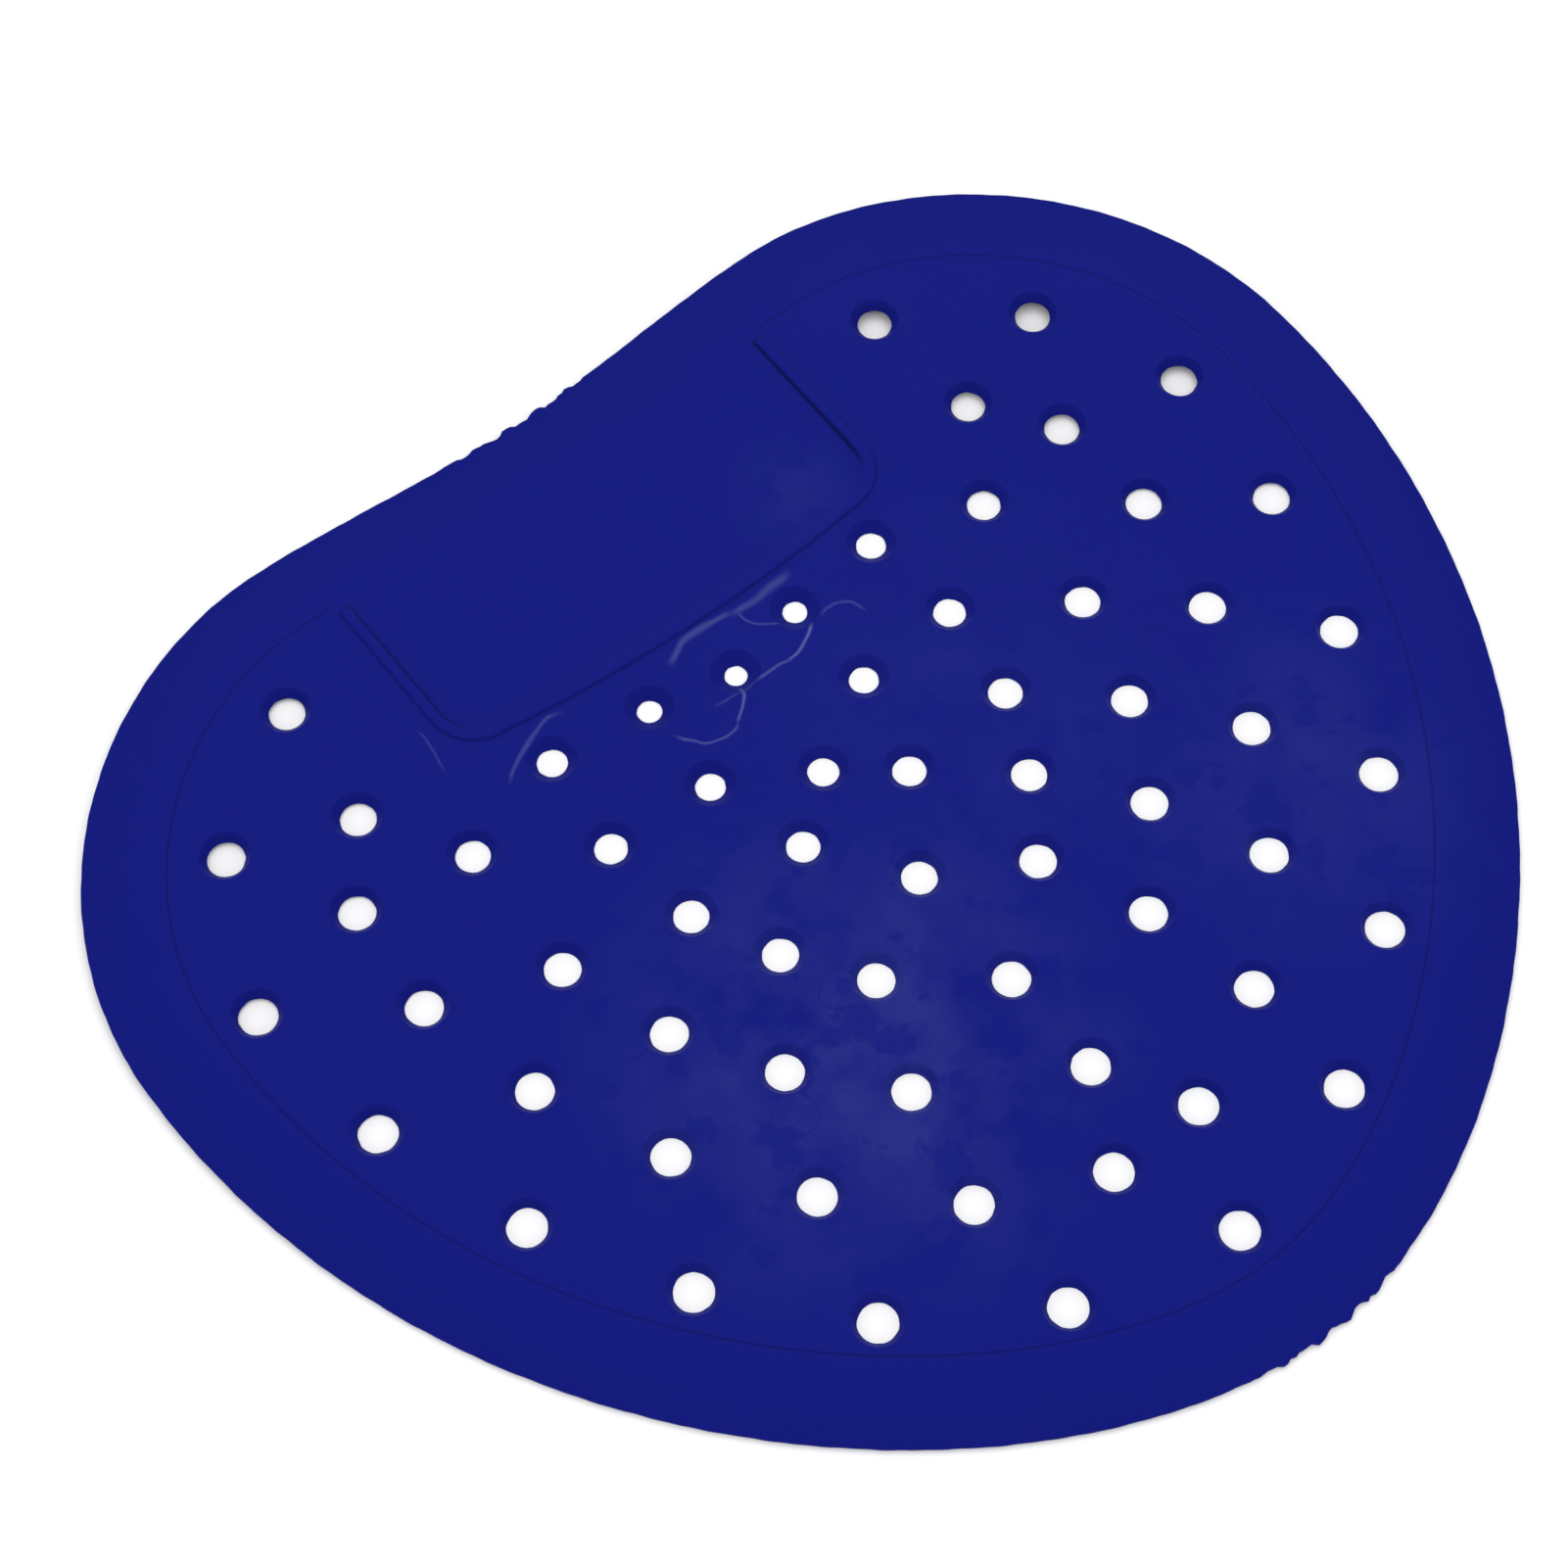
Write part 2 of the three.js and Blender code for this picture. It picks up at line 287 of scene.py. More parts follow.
def holeRing(place, radius):
    turn = 2 * math.pi * np.arange(drain["sides"]) / drain["sides"]
    return place + radius * np.column_stack([np.cos(turn), np.sin(turn)])


# Flash tears in waves of these lengths, and the whole edge ripples a little
trim = {
    "torn": 0.3, "tears": (5.3, 2.9, 1.7, 1.1), "halfReach": 12.0, "fadeIn": 3.0,
    "fine": 0.02, "ripples": (13.0, 7.1, 3.7), "seed": 4,
}


def trimRagged(loop):
    # how far torn flash stands out along the edge, at the dip and at the front, where it was trimmed
    rng = np.random.default_rng(trim["seed"])
    run = np.arange(len(loop)) * np.linalg.norm(loop[1] - loop[0])

    def wave(length):
        return np.sin(run * 2 * math.pi / length + rng.uniform(0, 6.3))

    tear = sum(wave(length) / number for number, length in enumerate(trim["tears"], 1))
    torn = (np.tanh(tear * 3) * 0.5 + tear * 0.5) * trim["torn"]
    reach = np.exp(-(loop[:, 0] / trim["halfReach"]) ** 4)
    fine = sum(wave(length) for length in trim["ripples"]) * trim["fine"]
    return reach * torn + fine


def buildSheet(holes, bores):
    sheet = Sheet()
    loop = outlineLoop()
    out = outwards(loop)
    torn = trimRagged(loop)
    radius, edge, field = section["edgeRadius"], section["edge"], section["field"]
    backMiddle = (np.abs(loop[:, 0] - patternShift) < seat["span"] / 2) & (loop[:, 1] > seatFootY)

    def ring(inset, height, paintedShade=0.0):
        # the torn edge fades out over the first millimetres of the border
        plan = loop - out * (inset - torn * max(1 - inset / trim["fadeIn"], 0))[:, None]
        # the border mark grows towards the edge and carries the painted shade of the border's fall
        return sheet.add(plan, height, paintedShade, max(1 - inset / section["border"], 0))

    def fall(inset):
        # top height over the border, with the crease softened between the rib's tips
        sharp = edge + (field - edge) * np.clip((inset - radius) / (section["border"] - radius), 0, 1)
        past = inset - section["border"]
        slope = (field - edge) / (section["border"] - radius)
        width = section["blendWidth"]
        soft = sharp - slope * max(width - abs(past), 0) ** 2 / (4 * width)
        return np.where(backMiddle, soft, sharp)

    turns = np.radians(section["edgeTurns"])
    under = [(inset, 0.0) for inset in section["underRings"]]
    under += [(radius * (1 - math.sin(a)), radius * (1 - math.cos(a))) for a in turns]
    side = [(radius * (1 - math.cos(a)), edge - radius * (1 - math.sin(a))) for a in turns]
    rings = [ring(inset, z) for inset, z in under + side]
    for inset in section["borderRings"]:
        rings.append(ring(inset, fall(inset)))
    # The crease carries a faint painted shade and a fine groove, both left out between the rib's tips
    crease = section["border"]
    groove = np.where(backMiddle, 0, section["creaseGroove"])
    rings.append(ring(crease, fall(crease) - groove, np.where(backMiddle, 0, shade["crease"])))
    rings.append(ring(section["fieldRing"], fall(section["fieldRing"])))
    for lower, upper in zip(rings, rings[1:]):
        sheet.band(lower, upper)

    # The rib: loops round it from its foot to its top, each with an outer and an inner side
    tip = creaseBackY + seat["tipReach"]
    width, rise = seat["ribWidth"], seat["ribRise"]
    loops = []
    for step in ribSteps:
        inset = step["inset"]
        outerSide = ribLine(inset, tip - inset)
        innerSide = ribLine(width - inset, tip - inset, seat["footSlope"] * step["slope"])[::-1]
        base = seatFloor(innerSide[:, 1])
        innerHeight = base + (field + rise - base) * step["rise"]
        # Painted shade in the crevices along the rib's feet, darkest on the seat side of its right leg
        onRightLeg = (outerSide[:, 0] > 0) & (outerSide[:, 1] > seatFootY + shade["legFrom"])
        outerDark = step["paintedShade"] * np.where(onRightLeg, shade["outerRight"], shade["outer"])
        onLegs = np.clip((innerSide[:, 1] - seatFootY - shade["fadeFrom"]) / shade["fade"], 0, 1)
        seatDark = np.where(innerSide[:, 0] > 0, shade["seatRight"], shade["seatLeft"])
        outer = sheet.add(outerSide, field + rise * step["rise"], outerDark)
        inner = sheet.add(innerSide, innerHeight, step["paintedShade"] * onLegs * seatDark)
        loops.append(np.concatenate([outer, inner]))
    pastTips = creaseBackY + section["blendWidth"]
    seatCorners = [[seat["span"] / 2, pastTips], [-seat["span"] / 2, pastTips]]
    seatPlan = np.vstack([ribLine(width / 2, tip), seatCorners])
    ribTop = ribSteps[-1]["inset"]
    ribPlan = np.vstack([ribLine(ribTop, tip), ribLine(width - ribTop, tip)[::-1]])

    lip = [drain["lip"] / 2] * len(holes)
    lipLoops = [sheet.add(holeRing(p, r), field) for p, r in zip(holes, lip)]

    def topHeight(plan):
        flatOrSeat = np.where(inside(plan, seatPlan), seatFloor(plan[:, 1]), field)
        return np.where(inside(plan, ribPlan), field + rise, flatOrSeat)

    top = fill(sheet, rings[-1], loops + lipLoops, lip, holes, filling["topGap"], topHeight)
    underRadii = [b / 2 + drain["underRing"] / 2 for b in bores]
    underLoops = [sheet.add(holeRing(p, r), 0.0) for p, r in zip(holes, underRadii)]
    bottom = fill(sheet, rings[0], underLoops, underRadii, holes, filling["underGap"], lambda plan: 0.0)
    sheet.faces += top.tolist() + bottom.tolist()
    return sheet


print("sheet: plan lines and fill")
holes = holePlaces()
bores = [boreAt(p) for p in holes]
sheet = buildSheet(holes, bores)
centres = sheet.add(holes, section["field"])
print("sheet has", sheet.count, "points and", len(sheet.faces), "faces")


# Node helpers

def node(tree, kind, inputs=None, **settings):
    # adds a node with its settings, and joins or sets its inputs
    made = tree.nodes.new(kind)
    for name, value in settings.items():
        setattr(made, name, value)
    for socket, source in (inputs or {}).items():
        if isinstance(source, bpy.types.Node):
            source = source.outputs[0]
        if isinstance(source, bpy.types.NodeSocket):
            tree.links.new(source, made.inputs[socket])
        else:
            made.inputs[socket].default_value = source
    return made


def linear(hexColour):
    # sRGB hex to linear light
    parts = [int(hexColour[i:i + 2], 16) / 255 for i in (1, 3, 5)]
    return [c / 12.92 if c <= 0.04045 else ((c + 0.055) / 1.055) ** 2.4 for c in parts] + [1.0]


# Drain holes

# From the soft lip down the flared wall to the underside. Each ring of a hole is set from the rim or from
# the bore, and torn says how much of the moulding skin left in the bore it follows.
holeProfile = [
    {"from": "rim", "out": 0.45, "height": section["field"], "torn": 0.0},
    {"from": "rim", "out": 0.32, "height": section["field"] + drain["lipRise"] * 0.8, "torn": 0.0},
    {"from": "rim", "out": 0.2, "height": section["field"] + drain["lipRise"], "torn": 0.0},
    {"from": "rim", "out": 0.08, "height": section["field"] - 0.01, "torn": 0.0},
    {"from": "rim", "out": 0.0, "height": section["field"] - 0.09, "torn": 0.0},
    {"from": "rim", "out": -0.08, "height": section["field"] - 0.22, "torn": 0.0},
    {"from": "bore", "out": 0.14, "height": 0.34, "torn": 0.2},
    {"from": "bore", "out": 0.02, "height": 0.14, "torn": 0.8},
    {"from": "bore", "out": 0.0, "height": 0.05, "torn": 1.0},
    {"from": "bore", "out": 0.05, "height": 0.0, "torn": 1.0},
    {"from": "bore", "out": drain["underRing"] / 2, "height": 0.0, "torn": 0.0},
]


def drainHoleTree(material):
    # a ring at every hole, drawn down into a flared wall, and joined to the sheet's openings
    tree = bpy.data.node_groups.new("drainHoles", "GeometryNodeTree")
    face = tree.interface
    face.new_socket("Geometry", in_out="INPUT", socket_type="NodeSocketGeometry")
    face.new_socket("Sides", in_out="INPUT", socket_type="NodeSocketInt")
    face.new_socket("Ragged", in_out="INPUT", socket_type="NodeSocketFloat")
    face.new_socket("Seed", in_out="INPUT", socket_type="NodeSocketFloat")
    face.new_socket("Geometry", in_out="OUTPUT", socket_type="NodeSocketGeometry")
    given = node(tree, "NodeGroupInput")

    bore = node(tree, "GeometryNodeInputNamedAttribute", {"Name": "bore"}, data_type="FLOAT")
    isHole = node(tree, "FunctionNodeCompare", {0: bore, 1: 0.0}, data_type="FLOAT", operation="GREATER_THAN")
    parts = node(tree, "GeometryNodeSeparateGeometry",
                 {"Geometry": given.outputs["Geometry"], "Selection": isHole}, domain="POINT")
    place = node(tree, "GeometryNodeInputPosition")
    marked = node(tree, "GeometryNodeStoreNamedAttribute",
                  {"Geometry": parts.outputs["Selection"], "Name": "centre", "Value": place},
                  data_type="FLOAT_VECTOR", domain="POINT")
    circle = node(tree, "GeometryNodeMeshCircle",
                  {"Vertices": given.outputs["Sides"], "Radius": drain["lip"] / 2 * mm}, fill_type="NONE")
    rings = node(tree, "GeometryNodeInstanceOnPoints", {"Points": marked, "Instance": circle})
    walls = node(tree, "GeometryNodeRealizeInstances", {"Geometry": rings})

    centre = node(tree, "GeometryNodeInputNamedAttribute", {"Name": "centre"}, data_type="FLOAT_VECTOR")
    away = node(tree, "ShaderNodeVectorMath", {0: place, 1: centre}, operation="SUBTRACT")
    flat = node(tree, "ShaderNodeVectorMath", {0: away, 1: (1, 1, 0)}, operation="MULTIPLY")
    spoke = node(tree, "ShaderNodeVectorMath", {0: flat}, operation="NORMALIZE")
    # Noise round each hole, the same down its wall
    around = node(tree, "ShaderNodeVectorMath", {0: spoke, "Scale": drain["skinRound"]}, operation="SCALE")
    own = node(tree, "ShaderNodeVectorMath", {0: centre, "Scale": drain["skinApart"]}, operation="SCALE")
    spot = node(tree, "ShaderNodeVectorMath", {0: around, 1: own}, operation="ADD")
    noise = node(tree, "ShaderNodeTexNoise",
                 {"Vector": spot, "W": given.outputs["Seed"], "Scale": drain["skinScale"], "Detail": 2.0},
                 noise_dimensions="4D")
    swing = node(tree, "ShaderNodeMath", {0: noise, 1: 0.5}, operation="SUBTRACT")
    torn = node(tree, "ShaderNodeMath", {0: swing, 1: given.outputs["Ragged"]}, operation="MULTIPLY")
    halfBore = node(tree, "ShaderNodeMath", {0: bore, 1: 0.5}, operation="MULTIPLY")

    # Each ring is drawn from the last one alone
    last = None
    for ring in holeProfile:
        inputs = {"Mesh": walls, "Offset Scale": 0.0}
        if last is not None:
            inputs["Selection"] = last
        extruded = node(tree, "GeometryNodeExtrudeMesh", inputs, mode="EDGES")
        start = drain["rim"] / 2 * mm if ring["from"] == "rim" else halfBore
        size = node(tree, "ShaderNodeMath", {0: start, 1: ring["out"] * mm}, operation="ADD")
        skin = node(tree, "ShaderNodeMath", {0: torn, 1: ring["torn"]}, operation="MULTIPLY")
        reach = node(tree, "ShaderNodeMath", {0: size, 1: skin}, operation="ADD")
        drawn = node(tree, "ShaderNodeVectorMath", {0: spoke, "Scale": reach}, operation="SCALE")
        height = node(tree, "ShaderNodeCombineXYZ", {"Z": (ring["height"] - section["field"]) * mm})
        lowered = node(tree, "ShaderNodeVectorMath", {0: centre, 1: height}, operation="ADD")
        target = node(tree, "ShaderNodeVectorMath", {0: lowered, 1: drawn}, operation="ADD")
        last = extruded.outputs["Top"]
        walls = node(tree, "GeometryNodeSetPosition",
                     {"Geometry": extruded.outputs["Mesh"], "Selection": last, "Position": target})

    both = node(tree, "GeometryNodeJoinGeometry")
    tree.links.new(parts.outputs["Inverted"], both.inputs[0])
    tree.links.new(walls.outputs[0], both.inputs[0])
    whole = node(tree, "GeometryNodeRealizeInstances", {"Geometry": both})
    merged = node(tree, "GeometryNodeMergeByDistance",
                  {"Geometry": whole, "Distance": drain["joinWithin"] * mm})
    smooth = node(tree, "GeometryNodeSetShadeSmooth", {"Geometry": merged, "Shade Smooth": True})
    dressed = node(tree, "GeometryNodeSetMaterial", {"Geometry": smooth, "Material": material})
    node(tree, "NodeGroupOutput", {"Geometry": dressed})
    return tree


# Vinyl: flexible PVC, pigmented in the mass and injection moulded. It gives the eye a deep royal blue
# with a weak satin sheen, with lighter clouded patches, and with pale weld lines where its streams met.

# The border colour is painted shade where the border falls towards the edge, and also the tone of the ghost
# rings; the darkest colour is painted shade in the crevices
vinylLook = {
    "body": "#0e1570", "haze": "#242b78", "border": "#0c136c", "pale": "#4a558e", "paintedShade": "#05083c",
    "roughness": 0.5, "roughnessSwing": 0.05, "ior": 1.5, "sheenLevel": 0.03,
}
# Sizes and heights of the patterns in millimetres. The real skin's grain is finer than the render can show,
# so it is drawn coarser.
patterns = {
    "cloud": 22.2, "blotch": 7.7, "wander": 5.56, "wanderReach": 2.0,
    "streakWidth": 1.43, "streakLength": 33.3,
    "grain": 0.455, "grainHeight": 0.004, "wave": 8.33, "waveHeight": 0.06, "weldHeight": 0.03,
}
# Weld lines beside the seat, each an arc about its centre that fades out at its reach from its middle
weldLines = [
    {"centre": (3.6, 42.2), "radius": 12.5, "middle": (9.6, 31.3), "reach": 4.2,
     "width": 0.35, "strength": 0.95},
    {"centre": (-15.0, -100.0), "radius": 131.7, "middle": (3.5, 30.4), "reach": 3.8,
     "width": 0.4, "strength": 0.6},
    {"centre": (-2.6, 74.7), "radius": 43.9, "middle": (-3.0, 30.7), "reach": 3.8,
     "width": 0.3, "strength": 0.3},
    {"centre": (-6.5, 31.3), "radius": 4.2, "middle": (-3.1, 28.8), "reach": 3.6,
     "width": 0.35, "strength": 0.8},
    {"centre": (-8.3, 32.3), "radius": 5.8, "middle": (-10.6, 27.0), "reach": 5.6,
     "width": 0.35, "strength": 0.55},
    {"centre": (-0.9, 29.5), "radius": 13.1, "middle": (-1.7, 42.6), "reach": 7.5,
     "width": 0.8, "strength": 0.45},
    {"centre": (3.8, 146.7), "radius": 105.4, "middle": (9.7, 41.4), "reach": 6.5,
     "width": 1.0, "strength": 0.4},
    {"centre": (9.8, 40.7), "radius": 4.5, "middle": (6.1, 38.2), "reach": 4.0,
     "width": 0.35, "strength": 0.4},
    {"centre": (16.0, 30.0), "radius": 3.9, "middle": (18.2, 33.3), "reach": 4.2,
     "width": 0.4, "strength": 0.35},
    {"centre": (-60.7, 52.3), "radius": 18.9, "middle": (-41.9, 49.9), "reach": 4.3,
     "width": 0.3, "strength": 0.25},
    {"centre": (-25.0, 29.4), "radius": 14.7, "middle": (-30.6, 43.0), "reach": 7.6,
     "width": 0.5, "strength": 0.4},
]
# Ghosts of other holes, pressed in while the screens lay stacked and still warm
ghostRings = {
    "radius": 3.05, "width": 0.35, "strength": 0.5,
    "places": [(49, -1), (40, -22), (28, -39), (14, -49), (72, 27),
               (-20, -14), (-47, -2), (-8, -43), (-31, -3), (-36, -24)],
}
clouds = [
    {"centre": (-24, -23), "radius": 46, "strength": 1.0},
    {"centre": (49, -29), "radius": 36, "strength": 0.45},
    {"centre": (24, 52), "radius": 13, "strength": 0.3},
    {"centre": (20, 8), "radius": 50, "strength": 0.2},
]


def distanceTo(tree, flat, place):
    made = node(tree, "ShaderNodeVectorMath", {0: flat, 1: (*place, 0)}, operation="DISTANCE")
    return made.outputs["Value"]


def arcMark(tree, flat, centre, radius, width, strength, middle=None, reach=0.0):
    # how strongly a point lies on an arc, or on a whole ring if no middle is given
    fromCentre = distanceTo(tree, flat, centre)
    off = node(tree, "ShaderNodeMath", {0: fromCentre, 1: radius}, operation="SUBTRACT")
    aside = node(tree, "ShaderNodeMath", {0: off}, operation="ABSOLUTE")
    line = node(tree, "ShaderNodeMapRange", {0: aside, 1: 0.0, 2: width, 3: strength, 4: 0.0},
                interpolation_type="SMOOTHSTEP")
    if middle is None:
        return line
    along = distanceTo(tree, flat, middle)
    fade = node(tree, "ShaderNodeMapRange", {0: along, 1: reach * 0.6, 2: reach, 3: 1.0, 4: 0.0},
                interpolation_type="SMOOTHSTEP")
    return node(tree, "ShaderNodeMath", {0: line, 1: fade}, operation="MULTIPLY")


def gathered(tree, parts, operation="MAXIMUM"):
    total = parts[0]
    for part in parts[1:]:
        total = node(tree, "ShaderNodeMath", {0: total, 1: part}, operation=operation)
    return total


def mixed(tree, share, colour, hexColour):
    # sockets 6 and 7 are the two colours that the Mix node blends, and output 2 is its colour
    made = node(tree, "ShaderNodeMix", {0: share, 6: colour, 7: linear(hexColour)}, data_type="RGBA")
    return made.outputs[2]


def attribute(tree, name):
    return node(tree, "ShaderNodeAttribute", attribute_name=name).outputs["Fac"]


def vinylMaterial():
    made = bpy.data.materials.new("vinyl_moulded")
    made.use_nodes = True
    tree = made.node_tree
    tree.nodes.clear()
    coords = node(tree, "ShaderNodeTexCoord").outputs["Object"]
    plan = node(tree, "ShaderNodeVectorMath", {0: coords, 1: (1 / mm, 1 / mm, 0)}, operation="MULTIPLY")

    # Lines wander a little from their arcs
    wander = node(tree, "ShaderNodeTexNoise",
                  {"Vector": plan, "Scale": 1 / patterns["wander"], "Detail": 1.0})
    swing = node(tree, "ShaderNodeVectorMath", {0: wander.outputs["Color"], 1: (0.5, 0.5, 0.5)},
                 operation="SUBTRACT")
    reach = patterns["wanderReach"]
    shift = node(tree, "ShaderNodeVectorMath", {0: swing, 1: (reach, reach, 0)}, operation="MULTIPLY")
    flat = node(tree, "ShaderNodeVectorMath", {0: plan, 1: shift}, operation="ADD")

    # Lighter clouds, broken by blotches
    slow = node(tree, "ShaderNodeTexNoise",
                {"Vector": plan, "Scale": 1 / patterns["cloud"], "Detail": 5.0, "Roughness": 0.6})
    slowShare = node(tree, "ShaderNodeMapRange", {0: slow, 1: 0.36, 2: 0.62, 3: 0.0, 4: 1.2})
    patches = []
    for cloud in clouds:
        away = distanceTo(tree, plan, cloud["centre"])
        patch = node(tree, "ShaderNodeMapRange",
                     {0: away, 1: 0.0, 2: cloud["radius"], 3: cloud["strength"], 4: 0.0},
                     interpolation_type="SMOOTHSTEP")
        patches.append(patch)
    clouded = node(tree, "ShaderNodeMath", {0: gathered(tree, patches), 1: slowShare}, operation="MULTIPLY")
    spots = node(tree, "ShaderNodeTexNoise",
                 {"Vector": plan, "Scale": 1 / patterns["blotch"], "Detail": 3.0, "Roughness": 0.55})
    clear = node(tree, "ShaderNodeMapRange", {0: spots, 1: 0.545, 2: 0.6, 3: 1.0, 4: 0.35})
    hazeShare = node(tree, "ShaderNodeMath", {0: clouded, 1: clear}, operation="MULTIPLY")
    colour = mixed(tree, hazeShare, linear(vinylLook["body"]), vinylLook["haze"])

    # Painted shade where the border falls: darker towards the edge, broken by streaks drawn from front to
    # back
    border = attribute(tree, "border")
    borderShare = node(tree, "ShaderNodeMapRange", {0: border, 1: 0.0, 2: 0.9, 3: 0.0, 4: 0.9})
    streak = (1 / patterns["streakWidth"], 1 / patterns["streakLength"], 0)
    drawn = node(tree, "ShaderNodeVectorMath", {0: plan, 1: streak}, operation="MULTIPLY")
    streaks = node(tree, "ShaderNodeTexNoise", {"Vector": drawn, "Scale": 1.0, "Detail": 3.0})
    streakShare = node(tree, "ShaderNodeMapRange", {0: streaks, 1: 0.5, 2: 0.7, 3: 1.0, 4: 0.35})
    darkened = node(tree, "ShaderNodeMath", {0: borderShare, 1: streakShare}, operation="MULTIPLY")
    colour = mixed(tree, darkened, colour, vinylLook["border"])

    # Ghost rings, worn away in places
    rings = []
    for place in ghostRings["places"]:
        mark = arcMark(tree, flat, place, ghostRings["radius"], ghostRings["width"], ghostRings["strength"])
        rings.append(mark)
    worn = node(tree, "ShaderNodeMapRange", {0: wander, 1: 0.42, 2: 0.6, 3: 0.3, 4: 1.0})
    ghost = node(tree, "ShaderNodeMath", {0: gathered(tree, rings), 1: worn}, operation="MULTIPLY")
    colour = mixed(tree, ghost, colour, vinylLook["border"])

    # Pale weld lines
    welds = gathered(tree, [arcMark(tree, flat, **line) for line in weldLines])
    colour = mixed(tree, welds, colour, vinylLook["pale"])
    # Painted shade in the crevices along the rib and at the crease
    colour = mixed(tree, attribute(tree, "paintedShade"), colour, vinylLook["paintedShade"])

    # Skin: fine grain, slow waves and the raised weld lines
    grain = node(tree, "ShaderNodeTexNoise", {"Vector": plan, "Scale": 1 / patterns["grain"], "Detail": 2.0})
    waves = node(tree, "ShaderNodeTexNoise", {"Vector": plan, "Scale": 1 / patterns["wave"], "Detail": 2.0})
    heights = [(grain, "grainHeight"), (waves, "waveHeight"), (welds, "weldHeight")]
    relief = [node(tree, "ShaderNodeMath", {0: part, 1: patterns[height] * mm}, operation="MULTIPLY")
              for part, height in heights]
    bump = node(tree, "ShaderNodeBump",
                {"Height": gathered(tree, relief, "ADD"), "Strength": 1.0, "Distance": 1.0})
    middling, swingBy = vinylLook["roughness"], vinylLook["roughnessSwing"]
    roughness = node(tree, "ShaderNodeMapRange",
                     {0: slow, 1: 0.3, 2: 0.7, 3: middling - swingBy, 4: middling + swingBy})
    surface = node(tree, "ShaderNodeBsdfPrincipled", {
        "Base Color": colour, "Roughness": roughness, "IOR": vinylLook["ior"],
        "Specular IOR Level": vinylLook["sheenLevel"], "Normal": bump})
    node(tree, "ShaderNodeOutputMaterial", {"Surface": surface})
    return made


vinyl = vinylMaterial()
print("vinyl is mixed")


# The screen as one mesh

def buildScreen():
    mesh = bpy.data.meshes.new("screen_sheet")
    points = np.vstack(sheet.points) * mm
    mesh.from_pydata(points.tolist(), [], sheet.faces)
    marks = np.vstack(sheet.marks)
    holeBore = np.zeros(len(points))
    holeBore[centres] = np.array(bores) * mm
    for name, values in (("paintedShade", marks[:, 0]), ("border", marks[:, 1]), ("bore", holeBore)):
        layer = mesh.attributes.new(name, "FLOAT", "POINT")
        layer.data.foreach_set("value", values.astype(np.float32))
    piece = bpy.data.objects.new("screen_moulding", mesh)
    bpy.context.scene.collection.objects.link(piece)
    mesh.materials.append(vinyl)
    tree = drainHoleTree(vinyl)
    modifier = piece.modifiers.new("drainHoles", "NODES")
    modifier.node_group = tree
    identifiers = {s.name: s.identifier for s in tree.interface.items_tree if s.in_out == "INPUT"}
    modifier[identifiers["Sides"]] = drain["sides"]
    modifier[identifiers["Ragged"]] = drain["ragged"] * 2 * mm
    modifier[identifiers["Seed"]] = drain["seed"]
    bpy.context.view_layer.update()
    evaluated = piece.evaluated_get(bpy.context.evaluated_depsgraph_get())
    plain = bpy.data.meshes.new_from_object(evaluated)
    piece.modifiers.clear()
    piece.data = plain
    work = bmesh.new()
    work.from_mesh(plain)
    bmesh.ops.recalc_face_normals(work, faces=work.faces)
    openEdges = sum(1 for e in work.edges if len(e.link_faces) != 2)
    for vert in work.verts:
        vert.co.z += float(liftAt(vert.co.x / mm, vert.co.y / mm)) * mm
    work.to_mesh(plain)
    work.free()
    print("screen has", len(plain.vertices), "points,", sum(len(p.vertices) - 2 for p in plain.polygons),
          "triangles,", openEdges, "open edges")
    return piece


screen = buildScreen()
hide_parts("screen")
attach(screen, "root")


# Stage: a white table, a soft tent of light, and the photo's camera

stage = {
    "size": 4.0, "table": 0.88, "tableRoughness": 0.8, "tableSheen": 0.2,
    "tent": 1.2, "key": 2.4, "keySize": 0.9, "keyHeight": 1.2, "keyBack": 0.7,
}
camera = {
    "distance": 438.5, "elevation": 61.53, "azimuth": 37.95, "roll": -0.68, "target": (-0.95, 16.5, 0.0),
    "lens": 71.87, "sensor": 36.0, "shift": (-0.01724, -0.01562), "nearest": 10.0,
}


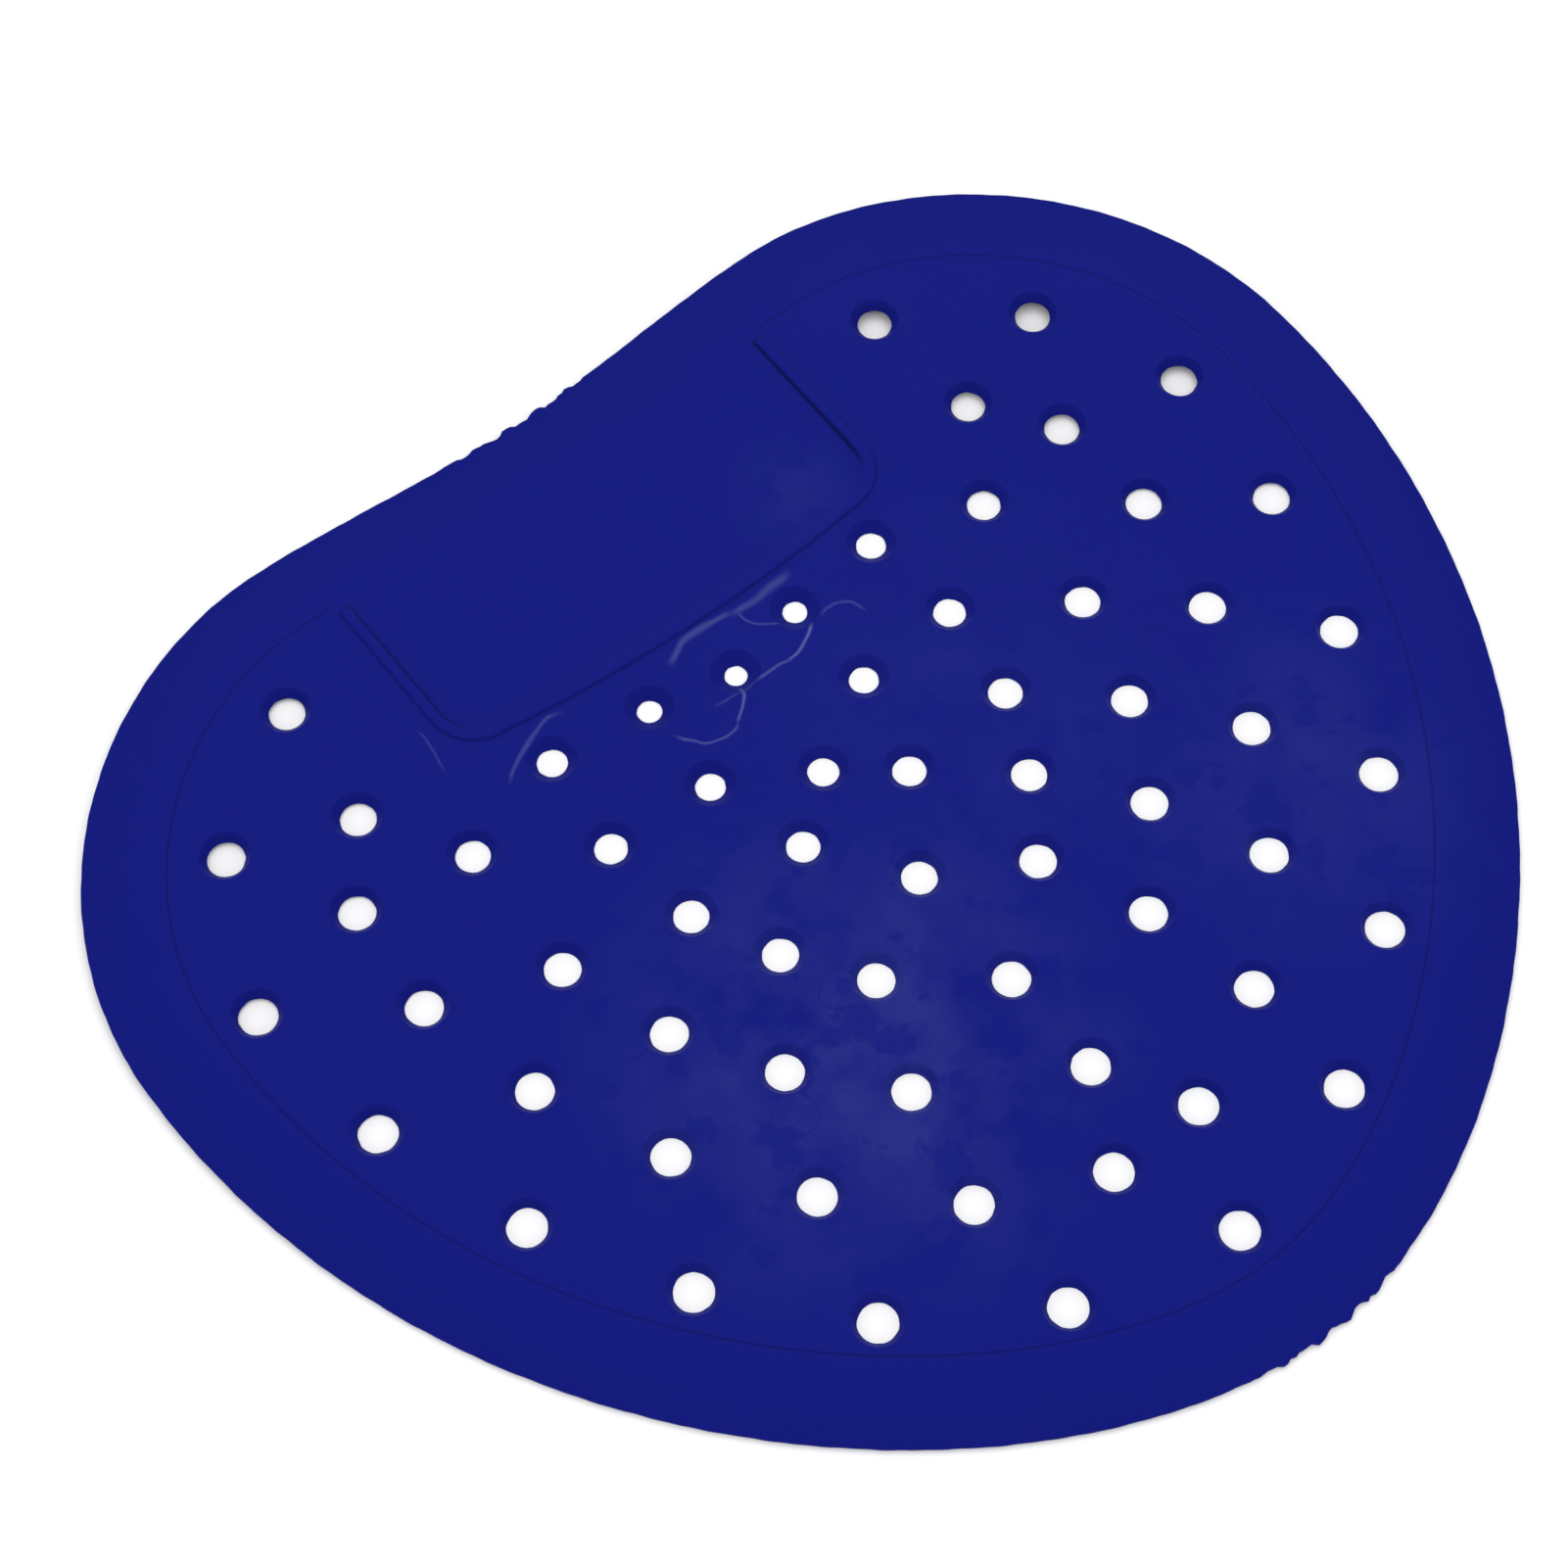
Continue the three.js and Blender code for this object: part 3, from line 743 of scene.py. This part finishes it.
def buildStage():
    half = stage["size"] / 2
    mesh = bpy.data.meshes.new("table")
    corners = [(-half, -half, 0), (half, -half, 0), (half, half, 0), (-half, half, 0)]
    mesh.from_pydata(corners, [], [(0, 1, 2, 3)])
    table = bpy.data.objects.new("table", mesh)
    bpy.context.scene.collection.objects.link(table)
    paint = bpy.data.materials.new("table_white")
    paint.use_nodes = True
    surface = paint.node_tree.nodes["Principled BSDF"]
    surface.inputs["Base Color"].default_value = (stage["table"],) * 3 + (1.0,)
    surface.inputs["Roughness"].default_value = stage["tableRoughness"]
    surface.inputs["Specular IOR Level"].default_value = stage["tableSheen"]
    mesh.materials.append(paint)


def buildLight():
    world = bpy.data.worlds.new("tent")
    bpy.context.scene.world = world
    world.use_nodes = True
    turn = math.radians(camera["azimuth"])
    away = Vector((math.sin(turn), math.cos(turn), 0))
    tent = world.node_tree.nodes["Background"]
    tent.inputs["Strength"].default_value = stage["tent"]
    tent.inputs["Color"].default_value = (1, 1, 1, 1)
    lamp = bpy.data.lights.new("key", "AREA")
    lamp.size = stage["keySize"]
    lamp.energy = stage["key"]
    key = bpy.data.objects.new("key", lamp)
    key.location = away * stage["keyBack"] + Vector((0, 0, stage["keyHeight"]))
    key.rotation_euler = (Vector((0, 0, 0)) - key.location).to_track_quat("-Z", "Y").to_euler()
    bpy.context.scene.collection.objects.link(key)


def buildCamera():
    tilt, turn = math.radians(camera["elevation"]), math.radians(camera["azimuth"])
    back = Vector((-math.cos(tilt) * math.sin(turn), -math.cos(tilt) * math.cos(turn), math.sin(tilt)))
    lens = bpy.data.cameras.new("camera")
    lens.sensor_width = camera["sensor"]
    lens.lens = camera["lens"]
    lens.shift_x, lens.shift_y = camera["shift"]
    lens.clip_start = camera["nearest"] * mm
    eye = bpy.data.objects.new("camera", lens)
    eye.location = (Vector(camera["target"]) + back * camera["distance"]) * mm
    level = back.to_track_quat("Z", "Y")
    eye.rotation_euler = (level @ Quaternion((0, 0, 1), math.radians(camera["roll"]))).to_euler()
    bpy.context.scene.collection.objects.link(eye)
    bpy.context.scene.camera = eye


buildStage()
buildLight()
buildCamera()
bpy.context.scene.view_settings.view_transform = "Standard"
print("stage, light and camera are set")
